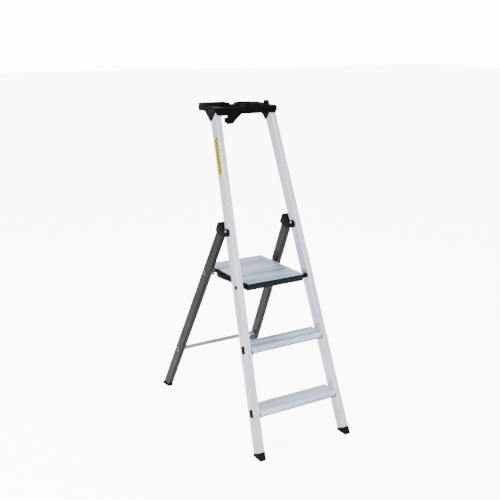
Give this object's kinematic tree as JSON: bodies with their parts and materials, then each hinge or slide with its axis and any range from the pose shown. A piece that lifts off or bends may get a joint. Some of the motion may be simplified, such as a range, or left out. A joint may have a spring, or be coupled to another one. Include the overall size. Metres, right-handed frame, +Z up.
{
  "type": "folding step ladder",
  "caption": "Folding aluminium step ladder with ribbed treads, a lifting platform, rear legs hinged on the stiles and a tool tray on top.",
  "frame": {"origin": "on the floor, at the middle of the open ladder's footprint", "axes": "+Z up, +X to the ladder's right as seen by the climber's back, +Y from the steps towards the rear legs"},
  "size_m": [0.4918, 0.914, 1.425],
  "materials": {
    "stile_aluminium": "satin anodised",
    "tread_aluminium": "extruded, ribbed",
    "leg_anodised": "dark satin anodised",
    "tube_aluminium": "drawn",
    "black_plastic": "fine moulded texture",
    "foot_rubber": "matt",
    "beam_paint": "dark coated, satin",
    "zinc_steel": "zinc plated",
    "black_steel": "blackened, satin",
    "label_film": "printed film"
  },
  "bodies": {
    "front_frame": {"left_stile": "stile_aluminium", "right_stile": "stile_aluminium", "lower_step": "tread_aluminium", "upper_step": "tread_aluminium", "step_end_caps": "black_plastic", "step_edge_strips": "black_plastic", "step_screws": "zinc_steel", "stile_covers": "black_plastic", "left_front_foot": "foot_rubber", "right_front_foot": "foot_rubber", "tool_tray": "black_plastic", "tray_screws": "black_steel", "stile_label": "label_film", "hinge_pins": "zinc_steel", "hinge_spacers": "zinc_steel", "platform_pivot_pins": "zinc_steel", "pivot_caps": "black_plastic"},
    "rear_frame": {"left_rear_leg": "leg_anodised", "right_rear_leg": "leg_anodised", "left_hinge_fork": "black_plastic", "right_hinge_fork": "black_plastic", "fork_rivets": "black_steel", "rear_brace_tube": "tube_aluminium", "platform_rest_tube": "tube_aluminium", "left_rear_foot": "foot_rubber", "right_rear_foot": "foot_rubber"},
    "platform": {"front_plank": "tread_aluminium", "middle_plank": "tread_aluminium", "rear_plank": "tread_aluminium", "platform_front_beam": "beam_paint", "left_platform_bracket": "black_plastic", "right_platform_bracket": "black_plastic", "platform_screws": "black_steel", "platform_bushes": "black_plastic"}
  },
  "joints": [
    {"name": "rear_leg_fold", "type": "hinge", "parent": "front_frame", "child": "rear_frame", "pos_m": [0, -0.08655, 0.9], "axis": [-1, 0, 0], "range_deg": [0, 46]},
    {"name": "platform_lift", "type": "hinge", "parent": "front_frame", "child": "platform", "pos_m": [0, -0.18373, 0.676], "axis": [1, 0, 0], "range_deg": [0, 69.1]}
  ],
  "couplings": [
    {"joint": "platform_lift", "follows": "rear_leg_fold", "ratio": 1.5}
  ]
}
